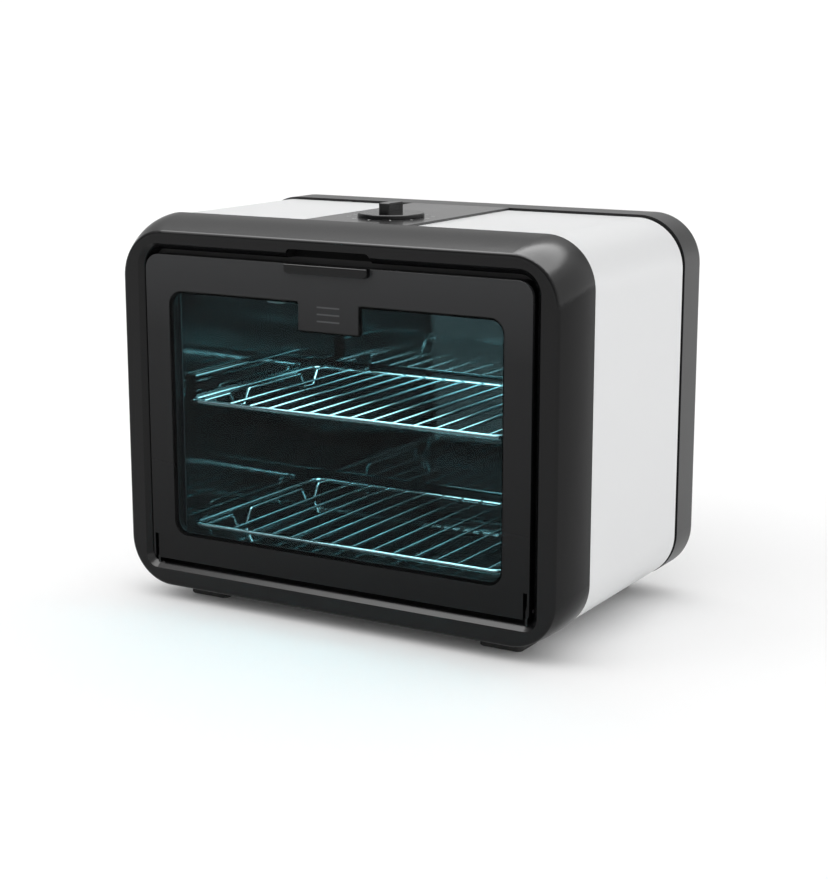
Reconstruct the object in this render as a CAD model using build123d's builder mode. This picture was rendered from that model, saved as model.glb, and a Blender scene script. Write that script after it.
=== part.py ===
"""Ultraviolet bottle sterilizer: a cabinet with a drop-down glass door, two wire racks and a timer.

Millimetres. +X runs across the width, +Y to the rear and +Z up. The origin is on the
surface that the feet stand on, at the middle of the cabinet's overall width and depth.
"""
from build123d import *
import os

os.makedirs("parts", exist_ok=True)

# ---- Case: the black frames at the front and rear, and the white panels between them ----
case_width = 400.0
case_bottom = 16.8
case_top = 309.4
case_corner = 39.0
bezel_depth = 39.0
panel_length = 159.5
groove_width = 4.0
rear_depth = 36.0
frame_wall = 3.0
handle_reach = 4.0
gland_reach = 6.4

case_depth = bezel_depth + panel_length + groove_width + rear_depth
front_y = handle_reach - (handle_reach + case_depth + gland_reach) / 2
bezel_rear_y = front_y + bezel_depth
panel_rear_y = bezel_rear_y + panel_length
rear_frame_y = panel_rear_y + groove_width
rear_y = rear_frame_y + rear_depth

lip_inset = 9.4
lip_sink = 5.3
lip_drop = 11.3
lip_corner = 38.0
lip_round = 2.6
lip_thickness = 6.0
flare_bulge = 2.1
seam = 0.3

panel_thickness = 1.5
panel_side_inset = 0.3
panel_top_inset = 1.7
panel_return = 52.0
spigot_gap = 0.2
spigot_wall = 2.0
spigot_length = 9.0
strip_width = 92.0
strip_thickness = 3.2
strip_round = 0.8
strip_rib_thickness = 2.0
strip_rib_height = 6.0
strip_rib_inset = 2.5
strip_rib_front_gap = 1.0
strip_rib_rear_gap = 3.0
base_thickness = 1.2
base_margin = 2.0
join = 1.0

# ---- Door ----
lip_border_side = 20.6
lip_border_bottom = 22.5
lip_border_top = 18.0
door_corner = 12.0
door_foot_corner = 4.0
door_setback = 1.0
door_side_gap = 2.3
door_end_gap = 4.0
glass_thickness = 3.2
glass_round = 0.5
mask_thickness = 0.8
mask_inset = 0.4
border_side = 24.5
border_bottom = 23.8
border_top = 29.9
window_corner = 10.0
tab_width = 57.0
tab_drop = 21.4
tab_corner = 4.0
mark_length = 20.0
mark_height = 1.2
mark_pitch = 5.3
mark_depth = 0.4
mark_drop = 6.5
mark_count = 3
door_frame_depth = 9.5
door_frame_inset = 0.5
door_frame_width = 20.5
door_frame_sill = 13.5
door_frame_lift = 2.0
seal_margin = 3.5
seal_width = 4.0
seal_height = 1.7
seal_gap = 0.3
recess_chamfer = 4.5
recess_wall = 3.0

# ---- Door hinge ----
hinge_setback = 8.0
hinge_rise = 5.5
hinge_pin_radius = 1.5
hinge_running_gap = 0.05
hinge_inset = 3.5
ear_thickness = 2.0
ear_radius = 4.5
ear_gap = 0.5
lug_radius = 3.0
lug_width = 4.5
lug_edge_gap = 0.2
slot_height = 20.0

# ---- Handle and finger scoop ----
handle_width = 73.5
handle_height = 7.3
handle_rise = 0.4
handle_corner = 3.5
handle_round = 1.2
handle_screw_spacing = 44.0
handle_screw_lift = 2.8
handle_screw_head = 2.4
scoop_width = 73.5
scoop_height = 11.1
scoop_depth = 13.5
scoop_corner = 4.0
scoop_roof = 2.0

# ---- Chamber ----
chamber_side_step = 22.0
floor_step = 15.2
ceiling_step = 20.6
chamber_rear_gap = 28.5
sheet = 1.0
flange_thickness = 1.2
flange_margin_side = 37.0
flange_margin_bottom = 26.0
flange_margin_top = 30.0
flange_corner = 28.0
boss_radius = 4.5
boss_inset = 5.5
boss_margin = 30.0

# ---- Racks and runners ----
rack_side_gap = 8.2
rack_rear_gap = 15.0
rack_setback = 15.5
rack_corner = 9.0
rack_wire = 3.6
rod_wire = 2.4
rod_pitch = 18.6
leg_rod_inset = 11.8
leg_gap = 0.3
leg_front = 37.0
leg_top_length = 26.0
leg_foot_length = 12.0
leg_rear = 40.5
leg_bend = 2.6
lower_rack_height = 12.8
upper_rack_height = 113.8
runner_width = 5.8
runner_height = 38.0
runner_wall = 1.0
runner_front = 27.0
runner_rear_gap = 35.0
runner_lift = 0.5
ledge_reach = 5.6
ledge_root = 0.5
ledge_thickness = 1.2
ledge_gap = 0.1
ledge_margin = 6.0
ledge_corner = 2.8
rivet_radius = 1.5
rivet_head_radius = 3.0
rivet_head_height = 1.5
rivet_end = 0.5
rivet_inset = 28.0
rivet_clearance = 0.1

# ---- Lamp ----
lamp_setback = 100.0
lamp_drop = 17.5
tube_radius = 7.75
tube_wall = 0.8
cap_wall = 0.5
cap_length = 10.0
cap_overlap = 2.0
lamp_pin_radius = 1.15
lamp_pin_length = 7.0
lamp_pin_spacing = 5.0
lamp_pin_gap = 0.15
holder_thickness = 12.0
holder_width = 18.0
holder_corner = 6.0
holder_gap = 0.3
reflector_sheet = 0.8
reflector_flat = 34.0
reflector_width = 64.0
reflector_drop = 8.0
reflector_side_gap = 20.0
reflector_overhang = 30.0

# ---- Timer and knob ----
knob_setback = 92.0
knob_radius = 26.0
knob_skirt = 2.8
knob_height = 11.0
knob_gap = 0.3
knob_round = 1.0
grip_width = 9.5
grip_length = 23.0
grip_corner = 2.0
grip_round = 0.8
shaft_radius = 3.0
shaft_running_gap = 0.05
shaft_clearance = 0.6
shaft_rise = 8.7
shaft_bite = 6.6
timer_size = 46.0
timer_height = 26.0
timer_plate_width = 64.0
timer_plate_length = 50.0
timer_plate_thickness = 1.5
timer_corner = 6.0
timer_screw_spacing = 54.0
timer_screw_bite = 2.0

# ---- Fasteners, feet and electrics ----
screw_radius = 1.5
screw_head_radius = 3.0
screw_head_height = 1.8
screw_clearance = 0.2
screw_end_gap = 0.2
screw_end = 2.0
cover_screw_end = 1.0
cover_screw_inset = 22.0
base_screw_margin = 6.0
foot_width = 36.0
foot_length = 32.0
foot_height = 14.0
foot_inset = 66.0
foot_front = 24.0
foot_rear = 14.0
foot_corner = 5.0
foot_neck_radius = 7.0
foot_neck_inset = 9.0
foot_sink = 3.0
foot_chamfer = 0.8
support_inset = 38.0
support_width = 16.0
support_sheet = 1.5
support_margin = 12.0
support_rear_margin = 30.3
ballast_length = 120.0
ballast_width = 40.0
ballast_height = 22.0
ballast_setback = 87.0
ballast_tab = 10.0
ballast_tab_height = 3.0
terminal_length = 36.0
terminal_width = 16.0
terminal_height = 13.0
terminal_gap = 1.0
terminal_pitch = 12.0
terminal_row_gap = 8.0
terminal_hole_radius = 2.0
terminal_hole_depth = 4.0
gland_inset = 80.0
gland_z = 78.0
gland_radius = 9.0
gland_body_radius = 6.5
gland_bore = 3.6
gland_taper = 8.0
gland_nut_gap = 0.05
gland_nut_radius = 9.5
gland_nut_length = 5.0
wire_radius = 1.5
wire_bend = 9.0
lead_low = 6.0
lead_high = 11.0
lead_over = 12.0
lead_crossing = 10.0
lead_run = 23.7
lead_drop_gap = 6.0
terminal_lead_offset = 10.0
ballast_lead_x = 30.0
timer_lead_rise = 5.0
cover_thickness = 2.0
cover_rim = 10.0
rear_wall = 5.0
rear_round = 7.0
cover_gap = 0.3
cover_side_inset = 26.0
cover_bottom_inset = 25.2
cover_top_inset = 25.4
cover_corner = 22.0
vent_width = 3.0
vent_length = 34.0
vent_pitch = 9.0
vent_count = 14
vent_rise = 63.0
vent_drop = 79.0
magnet_radius = 4.0
magnet_depth = 3.0
magnet_spacing = 240.0
magnet_edge = 3.0
reed_length = 26.0
reed_width = 8.0
reed_depth = 7.0
reed_corner = 1.5

# ---- Places worked out from the sizes above ----
half_case = case_width / 2
gland_x = half_case - gland_inset
lip_bottom = case_bottom - lip_sink
lip_top = case_top - lip_drop
door_width = case_width - 2 * (lip_inset + lip_border_side)
door_bottom = lip_bottom + lip_border_bottom
door_top = lip_top - lip_border_top
window_width = door_width - 2 * border_side
window_bottom = door_bottom + border_bottom
window_top = door_top - border_top
handle_top = door_top + handle_rise
panel_bottom = case_bottom + panel_side_inset
panel_top = case_top - panel_top_inset
panel_width = case_width - 2 * panel_side_inset
spigot_inset = panel_thickness + spigot_gap
base_z = panel_bottom + spigot_inset + spigot_wall
base_top = base_z + base_thickness
glass_y = front_y + door_setback
mask_y = glass_y + glass_thickness
door_frame_y = mask_y + mask_thickness
seal_y = door_frame_y + door_frame_depth
flange_y = seal_y + seal_height + seal_gap
recess_depth = flange_y - front_y
chamber_y = flange_y + flange_thickness
chamber_rear_y = rear_y - chamber_rear_gap
chamber_depth = chamber_rear_y - chamber_y
chamber_width = door_width - 2 * chamber_side_step
chamber_floor = door_bottom + floor_step
chamber_ceiling = door_top - ceiling_step
half_chamber = chamber_width / 2
opening_width = door_width + 2 * door_side_gap
opening_bottom = door_bottom - door_end_gap
opening_top = door_top + door_end_gap
hinge_y = front_y + hinge_setback
hinge_z = door_bottom + hinge_rise
hinge_x = door_width / 2 - hinge_inset
slot_width = ear_thickness + 2 * ear_gap
door_frame_bottom = hinge_z + door_frame_lift
door_frame_top = door_top - door_frame_inset
magnet_z = door_frame_top - magnet_radius - magnet_edge
lower_rack_z = chamber_floor + lower_rack_height
upper_rack_z = chamber_floor + upper_rack_height
rack_width = chamber_width - 2 * rack_side_gap
rack_y = front_y + rack_setback
rack_length = chamber_rear_y - rack_rear_gap - rack_y
leg_rod_x = rack_width / 2 - leg_rod_inset
rod_count = 2 * int((leg_rod_x - rod_pitch / 2) / rod_pitch)
rod_rise = (rack_wire - rod_wire) / 2
lamp_y = front_y + lamp_setback
lamp_z = chamber_ceiling - lamp_drop
reflector_length = chamber_width - 2 * reflector_side_gap
tube_length = reflector_length - 2 * reflector_overhang
cap_radius = tube_radius + lamp_pin_gap + cap_wall
strip_bottom = case_top - strip_thickness
knob_y = front_y + knob_setback
timer_plate_z = strip_bottom - timer_plate_thickness
timer_z = timer_plate_z - timer_height
chamber_under = chamber_floor - sheet
chamber_over = chamber_ceiling + sheet
runner_x = half_chamber - runner_width / 2
runner_y = front_y + runner_front
runner_length = chamber_rear_y - runner_rear_gap - runner_y
runner_z = upper_rack_z + runner_lift
ballast_y = front_y + ballast_setback
support_y = chamber_y + support_margin
support_length = chamber_depth - support_margin - support_rear_margin
half_support = half_chamber - support_inset
crossing_y = support_y + support_length + lead_crossing
terminal_y = crossing_y - lead_run - terminal_width
terminal_x = half_support - support_width - terminal_gap - terminal_length / 2
foot_x = half_case - foot_inset
cover_width = case_width - 2 * cover_side_inset
cover_bottom = case_bottom + cover_bottom_inset
cover_top = case_top - cover_top_inset
cover_y = rear_y - cover_gap
cover_inner_y = cover_y - cover_thickness
base_y = bezel_rear_y + seam
base_length = panel_length + groove_width - 2 * seam
sides = (-1, 1)


def upright(y):
    """The plane across the cabinet at depth y: local x is +X and local y is +Z."""
    return Plane.XZ.offset(-y)


def sideways(x):
    """The plane along the cabinet at width x: local x is +Y and local y is +Z."""
    return Plane.YZ.offset(x)


def rounded(width, low, high, corner):
    """A rounded rectangle, centred on the cabinet's middle, in the open sketch."""
    with Locations((0, (low + high) / 2)):
        RectangleRounded(width, high - low, corner)


def door_outline(width, low, high, margin=0.0):
    """The door's outline in the open sketch: large corners at the top, small ones at the foot."""
    rounded(width, low, high, door_corner + margin)
    rounded(width, low, (low + high) / 2, door_foot_corner + margin)


def slot_pair(mode=Mode.SUBTRACT):
    """The two slots, open at the door's foot, that clear the hinge ears, in the open sketch."""
    for side in sides:
        with Locations((side * hinge_x, door_bottom + slot_height)):
            Rectangle(
                slot_width,
                2 * slot_height,
                align=(Align.CENTER, Align.MAX),
                mode=mode,
            )


def screws(places, direction, length, head_radius=screw_head_radius):
    """Pan-head screws in the open part: each head seats at a place, each shank runs along direction."""
    for place in places:
        with Locations(Plane(origin=place, z_dir=direction)):
            Cylinder(screw_radius, length, align=(Align.CENTER, Align.CENTER, Align.MIN))
            Cylinder(head_radius, screw_head_height, align=(Align.CENTER, Align.CENTER, Align.MAX))


def holes(places, direction, length, radius=screw_radius + screw_clearance):
    """Round holes in the open part, from each place along direction."""
    for place in places:
        with Locations(Plane(origin=place, z_dir=direction)):
            Cylinder(
                radius,
                length,
                align=(Align.CENTER, Align.CENTER, Align.MIN),
                mode=Mode.SUBTRACT,
            )


def slab(width, length, height, centre_x, low_y, low_z, mode=Mode.ADD):
    """A box in the open part, given by its middle in X and its low corner in Y and Z."""
    with Locations((centre_x, low_y, low_z)):
        Box(width, length, height, align=(Align.CENTER, Align.MIN, Align.MIN), mode=mode)


# ---- Places of the screws, feet and rivets, shared by the pieces that they join ----
handle_screw_y = door_frame_y + door_frame_depth / 2
handle_screw_z = handle_top - handle_height + handle_screw_lift
handle_screw_x = handle_screw_spacing / 2
handle_screws_at = [(side * handle_screw_x, handle_screw_y, handle_screw_z) for side in sides]
handle_screw_length = handle_screw_y - front_y + handle_reach / 2
timer_screws_at = [(side * timer_screw_spacing / 2, knob_y, timer_plate_z) for side in sides]
neck_ys = (
    front_y + foot_front + foot_neck_inset,
    rear_y - foot_rear - foot_neck_inset,
)
foot_screws_at = [(side * foot_x, y, foot_sink) for side in sides for y in neck_ys]
foot_screw_length = case_bottom + frame_wall - foot_sink + screw_end
base_screw_ys = (
    bezel_rear_y + spigot_length / 2 + seam,
    panel_rear_y - spigot_length / 2,
)
base_screw_x = half_case - panel_return + base_screw_margin
base_screws_at = [(side * base_screw_x, y, panel_bottom) for side in sides for y in base_screw_ys]
base_screw_length = base_top - panel_bottom + screw_end
ballast_screw_x = ballast_length / 2 - ballast_tab / 2
ballast_mid_y = ballast_y + ballast_width / 2
ballast_screws_at = [(side * ballast_screw_x, ballast_mid_y, base_z) for side in sides]
cover_screw_zs = (
    cover_bottom + cover_screw_inset,
    (cover_bottom + cover_top) / 2,
    cover_top - cover_screw_inset,
)
cover_screw_length = rear_wall + cover_screw_end
cover_screw_x = cover_width / 2 - cover_rim / 2
cover_screws_at = [(side * cover_screw_x, cover_y, z) for side in sides for z in cover_screw_zs]
flange_half_width = half_chamber + flange_margin_side
flange_bottom = chamber_floor - flange_margin_bottom
flange_top = chamber_ceiling + flange_margin_top
flange_screw_zs = (
    flange_bottom + boss_margin,
    (flange_bottom + flange_top) / 2,
    flange_top - boss_margin,
)
flange_screw_x = flange_half_width - boss_inset
flange_screws_at = [(side * flange_screw_x, chamber_y, z) for side in sides for z in flange_screw_zs]
rivet_ys = (runner_y + rivet_inset, runner_y + runner_length - rivet_inset)

# ================= Cabinet: outer case =================

# The front bezel: a hollow black ring that flares back from its lip to the case outline,
# with the recess for the door, the finger scoop and the two hinge ears moulded in.
with BuildPart() as front_bezel:
    with BuildSketch(upright(front_y)):
        rounded(case_width - 2 * lip_inset, lip_bottom, lip_top, lip_corner)
    with BuildSketch(upright((front_y + bezel_rear_y) / 2)):
        rounded(
            case_width - lip_inset + 2 * flare_bulge,
            (lip_bottom + case_bottom) / 2,
            (lip_top + case_top) / 2 + flare_bulge,
            (lip_corner + case_corner) / 2,
        )
    with BuildSketch(upright(bezel_rear_y)):
        rounded(case_width, case_bottom, case_top, case_corner)
    loft()
    fillet(front_bezel.faces().sort_by(Axis.Y)[0].edges(), lip_round)
    with BuildSketch(upright(front_y + lip_thickness)):
        inner = frame_wall
        rounded(
            case_width - 2 * (lip_inset + inner),
            lip_bottom + inner,
            lip_top - inner,
            lip_corner - inner,
        )
    with BuildSketch(upright(bezel_rear_y)):
        rounded(case_width - 2 * inner, case_bottom + inner, case_top - inner, case_corner - inner)
    loft(mode=Mode.SUBTRACT)
    # The wall around the door's recess, and the box behind the finger scoop.
    with BuildSketch(upright(front_y + lip_thickness)):
        wall = recess_wall
        door_outline(
            opening_width + 2 * wall,
            opening_bottom - wall,
            opening_top + wall,
            door_side_gap + wall,
        )
        with Locations((0, opening_top)):
            Rectangle(
                scoop_width + 2 * wall,
                scoop_height - door_end_gap + scoop_roof,
                align=(Align.CENTER, Align.MIN),
            )
        for x, y, z in flange_screws_at:
            with Locations((x, z)):
                Circle(boss_radius)
    extrude(amount=lip_thickness - recess_depth)
    with BuildSketch(upright(front_y)):
        door_outline(opening_width, opening_bottom, opening_top, door_side_gap)
    extrude(amount=-recess_depth, mode=Mode.SUBTRACT)
    with BuildSketch(upright(front_y)):
        door_outline(
            opening_width + 2 * recess_chamfer,
            opening_bottom - recess_chamfer,
            opening_top + recess_chamfer,
            door_side_gap + recess_chamfer,
        )
    with BuildSketch(upright(front_y + recess_chamfer)):
        door_outline(opening_width, opening_bottom, opening_top, door_side_gap)
    loft(mode=Mode.SUBTRACT)
    with BuildSketch(upright(front_y)):
        with Locations((0, door_top + scoop_height / 2)):
            RectangleRounded(scoop_width, scoop_height, scoop_corner)
    extrude(amount=-scoop_depth, mode=Mode.SUBTRACT)
    # The spigot that the white panels and the strip sit over.
    with BuildSketch(upright(bezel_rear_y - frame_wall)):
        inset = spigot_inset
        rounded(
            panel_width - 2 * inset,
            panel_bottom + inset,
            panel_top - inset,
            case_corner - inset,
        )
        inset = spigot_inset + spigot_wall
        with Locations((0, (panel_bottom + panel_top) / 2)):
            RectangleRounded(
                panel_width - 2 * inset,
                panel_top - panel_bottom - 2 * inset,
                case_corner - inset,
                mode=Mode.SUBTRACT,
            )
    extrude(amount=-(frame_wall + spigot_length))
    for side in sides:
        with BuildSketch(sideways(side * hinge_x - ear_thickness / 2)):
            with Locations((hinge_y, hinge_z)):
                Circle(ear_radius)
            with Locations((hinge_y - ear_radius, opening_bottom - join)):
                Rectangle(
                    recess_depth - hinge_setback + ear_radius,
                    hinge_rise + door_end_gap + join,
                    align=(Align.MIN, Align.MIN),
                )
            with Locations((hinge_y, hinge_z)):
                Circle(hinge_pin_radius + hinge_running_gap, mode=Mode.SUBTRACT)
        extrude(amount=ear_thickness)
    holes(flange_screws_at, (0, -1, 0), flange_thickness + recess_depth - lip_thickness)
    holes(base_screws_at, (0, 0, 1), base_screw_length)
    holes(foot_screws_at, (0, 0, 1), foot_screw_length)
front_bezel.part.label = "front_bezel"
export_step(front_bezel.part, "parts/front_bezel.step")

# The two white panels: each wraps from the top strip over the side to the underside.
panel_y = bezel_rear_y + seam
for name, side in (("left_side_panel", -1), ("right_side_panel", 1)):
    with BuildPart() as side_panel:
        with BuildSketch(upright(panel_y)):
            rounded(panel_width, panel_bottom, panel_top, case_corner)
            with Locations((0, (panel_bottom + panel_top) / 2)):
                RectangleRounded(
                    panel_width - 2 * panel_thickness,
                    panel_top - panel_bottom - 2 * panel_thickness,
                    case_corner - panel_thickness,
                    mode=Mode.SUBTRACT,
                )
            with Locations((side * (strip_width / 2 + seam), 0)):
                Rectangle(
                    case_width,
                    case_top,
                    align=(Align.MAX if side > 0 else Align.MIN, Align.MIN),
                    mode=Mode.SUBTRACT,
                )
            with Locations((side * (half_case - panel_return), 0)):
                Rectangle(
                    case_width,
                    case_bottom + case_corner / 2,
                    align=(Align.MAX if side > 0 else Align.MIN, Align.MIN),
                    mode=Mode.SUBTRACT,
                )
        extrude(amount=seam - panel_length)
        holes(base_screws_at, (0, 0, 1), base_screw_length)
    side_panel.part.label = name
    export_step(side_panel.part, f"parts/{name}.step")

# The black strip along the top, with a stiffening rib under each edge and the timer's holes.
rib_length = panel_length - 2 * spigot_length - strip_rib_front_gap - strip_rib_rear_gap
with BuildPart() as top_strip:
    slab(
        strip_width,
        panel_length + groove_width - 2 * seam,
        strip_thickness,
        0,
        panel_y,
        strip_bottom,
    )
    fillet(top_strip.edges().filter_by(Axis.Y).group_by(Axis.Z)[-1], strip_round)
    for side in sides:
        slab(
            strip_rib_thickness,
            rib_length,
            strip_rib_height,
            side * (strip_width / 2 - strip_rib_inset),
            panel_y + spigot_length + strip_rib_front_gap,
            strip_bottom - strip_rib_height,
        )
    holes(
        [(0, knob_y, strip_bottom - join)],
        (0, 0, 1),
        strip_thickness + 2 * join,
        shaft_radius + shaft_clearance,
    )
    holes(timer_screws_at, (0, 0, 1), timer_plate_thickness + timer_screw_bite + screw_end_gap)
top_strip.part.label = "top_strip"
export_step(top_strip.part, "parts/top_strip.step")

# The rear frame: a black ring with a spigot under the panels and a rim for the rear cover.
with BuildPart() as rear_frame:
    with BuildSketch(upright(rear_frame_y)):
        rounded(case_width, case_bottom, case_top, case_corner)
    extrude(amount=-rear_depth)
    fillet(rear_frame.faces().sort_by(Axis.Y)[-1].edges(), rear_round)
    with BuildSketch(upright(rear_frame_y)):
        inner = frame_wall
        rounded(case_width - 2 * inner, case_bottom + inner, case_top - inner, case_corner - inner)
    extrude(amount=rear_wall - rear_depth, mode=Mode.SUBTRACT)
    with BuildSketch(upright(rear_y)):
        rim = 2 * cover_rim
        rounded(
            cover_width - rim,
            cover_bottom + cover_rim,
            cover_top - cover_rim,
            cover_corner - cover_rim,
        )
    extrude(amount=rear_depth, mode=Mode.SUBTRACT)
    with BuildSketch(upright(rear_y)):
        rounded(
            cover_width + 2 * cover_gap,
            cover_bottom - cover_gap,
            cover_top + cover_gap,
            cover_corner,
        )
    extrude(amount=cover_thickness + cover_gap, mode=Mode.SUBTRACT)
    with BuildSketch(upright(panel_rear_y - spigot_length)):
        inset = spigot_inset
        rounded(
            panel_width - 2 * inset,
            panel_bottom + inset,
            panel_top - inset,
            case_corner - inset,
        )
        inset = spigot_inset + spigot_wall
        with Locations((0, (panel_bottom + panel_top) / 2)):
            RectangleRounded(
                panel_width - 2 * inset,
                panel_top - panel_bottom - 2 * inset,
                case_corner - inset,
                mode=Mode.SUBTRACT,
            )
    extrude(amount=-(spigot_length + groove_width + frame_wall))
    holes(cover_screws_at, (0, -1, 0), cover_screw_length)
    holes(base_screws_at, (0, 0, 1), base_screw_length)
    holes(foot_screws_at, (0, 0, 1), foot_screw_length)
rear_frame.part.label = "rear_frame"
export_step(rear_frame.part, "parts/rear_frame.step")

# The rear cover: a plate with two banks of vent slots and the hole for the cord's gland.
with BuildPart() as rear_cover:
    with BuildSketch(upright(cover_y)):
        rounded(cover_width, cover_bottom, cover_top, cover_corner)
        for height in (cover_bottom + vent_rise, cover_top - vent_drop):
            with Locations((0, height)):
                with GridLocations(vent_pitch, 1, vent_count, 1):
                    SlotOverall(vent_length, vent_width, rotation=90, mode=Mode.SUBTRACT)
        with Locations((gland_x, gland_z)):
            Circle(gland_body_radius + cover_gap, mode=Mode.SUBTRACT)
    extrude(amount=cover_thickness)
    holes(cover_screws_at, (0, -1, 0), cover_thickness)
rear_cover.part.label = "rear_cover"
export_step(rear_cover.part, "parts/rear_cover.step")

with BuildPart() as rear_cover_screws:
    screws(cover_screws_at, (0, -1, 0), cover_screw_length)
rear_cover_screws.part.label = "rear_cover_screws"
export_step(rear_cover_screws.part, "parts/rear_cover_screws.step")

# The base plate lies on the two spigots, between the panels' turned-in edges.
with BuildPart() as base_plate:
    base_width = 2 * (half_case - case_corner - base_margin)
    slab(base_width, base_length, base_thickness, 0, base_y, base_z)
    holes(base_screws_at, (0, 0, 1), base_screw_length)
    holes(ballast_screws_at, (0, 0, 1), base_thickness)
base_plate.part.label = "base_plate"
export_step(base_plate.part, "parts/base_plate.step")

with BuildPart() as base_screws:
    screws(base_screws_at, (0, 0, 1), base_screw_length)
base_screws.part.label = "base_screws"
export_step(base_screws.part, "parts/base_screws.step")

# Four feet: a pad with rounded corners, and a neck that meets the frame above it.
front_neck_y, rear_neck_y = neck_ys
underside_rise = (case_bottom - lip_bottom) / bezel_depth
front_neck_top = lip_bottom + underside_rise * (front_neck_y - foot_neck_radius - front_y)
with BuildPart() as feet:
    for side in sides:
        for neck_y, neck_top, pad_y in (
            (front_neck_y, front_neck_top, front_y + foot_front),
            (rear_neck_y, case_bottom, rear_y - foot_rear - foot_length),
        ):
            with BuildSketch(Plane.XY):
                with Locations((side * foot_x, pad_y + foot_length / 2)):
                    RectangleRounded(foot_width, foot_length, foot_corner)
            extrude(amount=foot_height)
            with BuildSketch(Plane.XY):
                with Locations((side * foot_x, neck_y)):
                    Circle(foot_neck_radius)
            extrude(amount=neck_top)
    chamfer(feet.faces().sort_by(Axis.Z)[0:4].edges(), foot_chamfer)
    holes(foot_screws_at, (0, 0, 1), case_top)
    holes(foot_screws_at, (0, 0, -1), foot_sink, screw_head_radius + screw_clearance)
feet.part.label = "feet"
export_step(feet.part, "parts/feet.step")

with BuildPart() as foot_screws:
    screws(foot_screws_at, (0, 0, 1), foot_screw_length)
foot_screws.part.label = "foot_screws"
export_step(foot_screws.part, "parts/foot_screws.step")

# ================= Cabinet: sterilizing chamber =================

# The flange closes the gap between the bezel's recess and the chamber, and the door seals on it.
with BuildPart() as chamber_flange:
    with BuildSketch(upright(flange_y)):
        rounded(2 * flange_half_width, flange_bottom, flange_top, flange_corner)
        with Locations((0, (chamber_floor + chamber_ceiling) / 2)):
            Rectangle(chamber_width, chamber_ceiling - chamber_floor, mode=Mode.SUBTRACT)
    extrude(amount=-flange_thickness)
    holes(flange_screws_at, (0, -1, 0), flange_thickness)
chamber_flange.part.label = "chamber_flange"
export_step(chamber_flange.part, "parts/chamber_flange.step")

with BuildPart() as flange_screws:
    screws(flange_screws_at, (0, -1, 0), recess_depth - lip_thickness)
flange_screws.part.label = "flange_screws"
export_step(flange_screws.part, "parts/flange_screws.step")

# The polished liner: floor, ceiling, two walls and a back.
with BuildPart() as chamber_floor_sheet:
    slab(chamber_width, chamber_depth, sheet, 0, chamber_y, chamber_under)
chamber_floor_sheet.part.label = "chamber_floor"
export_step(chamber_floor_sheet.part, "parts/chamber_floor.step")

with BuildPart() as chamber_ceiling_sheet:
    slab(chamber_width, chamber_depth, sheet, 0, chamber_y, chamber_ceiling)
chamber_ceiling_sheet.part.label = "chamber_ceiling"
export_step(chamber_ceiling_sheet.part, "parts/chamber_ceiling.step")

liner_height = chamber_over - chamber_under
for name, side in (("chamber_left_wall", -1), ("chamber_right_wall", 1)):
    with BuildPart() as chamber_wall:
        wall_x = side * (half_chamber + sheet / 2)
        slab(sheet, chamber_depth, liner_height, wall_x, chamber_y, chamber_under)
        inner_x = side * half_chamber
        holes(
            [(inner_x, y, runner_z) for y in rivet_ys],
            (side, 0, 0),
            sheet,
            rivet_radius + rivet_clearance,
        )
    chamber_wall.part.label = name
    export_step(chamber_wall.part, f"parts/{name}.step")

with BuildPart() as chamber_back:
    slab(chamber_width + 2 * sheet, sheet, liner_height, 0, chamber_rear_y, chamber_under)
chamber_back.part.label = "chamber_back"
export_step(chamber_back.part, "parts/chamber_back.step")

# Two channels carry the chamber on the base plate.
with BuildPart() as chamber_supports:
    for side in sides:
        web_x = side * (half_support - support_sheet / 2)
        flange_x = side * (half_support - support_width / 2)
        support_height = chamber_under - base_top
        slab(support_sheet, support_length, support_height, web_x, support_y, base_top)
        slab(support_width, support_length, support_sheet, flange_x, support_y, base_top)
        top_z = chamber_under - support_sheet
        slab(support_width, support_length, support_sheet, flange_x, support_y, top_z)
chamber_supports.part.label = "chamber_supports"
export_step(chamber_supports.part, "parts/chamber_supports.step")

# The runners for the upper rack: a hollow rail with round edges, and a ledge under the rack's side.
for name, side in (("left_rack_runner", -1), ("right_rack_runner", 1)):
    with BuildPart() as runner:
        with BuildSketch(upright(runner_y)):
            with Locations((side * runner_x, runner_z)):
                SlotOverall(runner_height, runner_width, rotation=90)
                SlotOverall(
                    runner_height - 2 * runner_wall,
                    runner_width - 2 * runner_wall,
                    rotation=90,
                    mode=Mode.SUBTRACT,
                )
        extrude(amount=-runner_length)
        ledge_top = upper_rack_z - rack_wire / 2 - ledge_gap
        ledge_width = ledge_reach + ledge_root
        ledge_x = half_chamber - runner_width + ledge_root - ledge_width / 2
        with BuildSketch(Plane.XY.offset(ledge_top - ledge_thickness)) as ledge:
            with Locations((side * ledge_x, runner_y + runner_length / 2)):
                Rectangle(ledge_width, runner_length - 2 * ledge_margin)
            inner_end = 0 if side > 0 else -1
            fillet(ledge.vertices().group_by(Axis.X)[inner_end], ledge_corner)
        extrude(amount=ledge_thickness)
        holes(
            [(side * half_chamber, y, runner_z) for y in rivet_ys],
            (-side, 0, 0),
            runner_width / 2,
            rivet_radius + rivet_clearance,
        )
    runner.part.label = name
    export_step(runner.part, f"parts/{name}.step")

with BuildPart() as runner_rivets:
    for side in sides:
        for y in rivet_ys:
            seat = (side * (half_chamber + sheet), y, runner_z)
            with Locations(Plane(origin=seat, z_dir=(side, 0, 0))):
                Cylinder(
                    rivet_head_radius,
                    rivet_head_height,
                    align=(Align.CENTER, Align.CENTER, Align.MIN),
                )
                Cylinder(
                    rivet_radius,
                    sheet + runner_wall + rivet_end,
                    align=(Align.CENTER, Align.CENTER, Align.MAX),
                )
runner_rivets.part.label = "runner_rivets"
export_step(runner_rivets.part, "parts/runner_rivets.step")

# ================= Lamp =================

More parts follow.
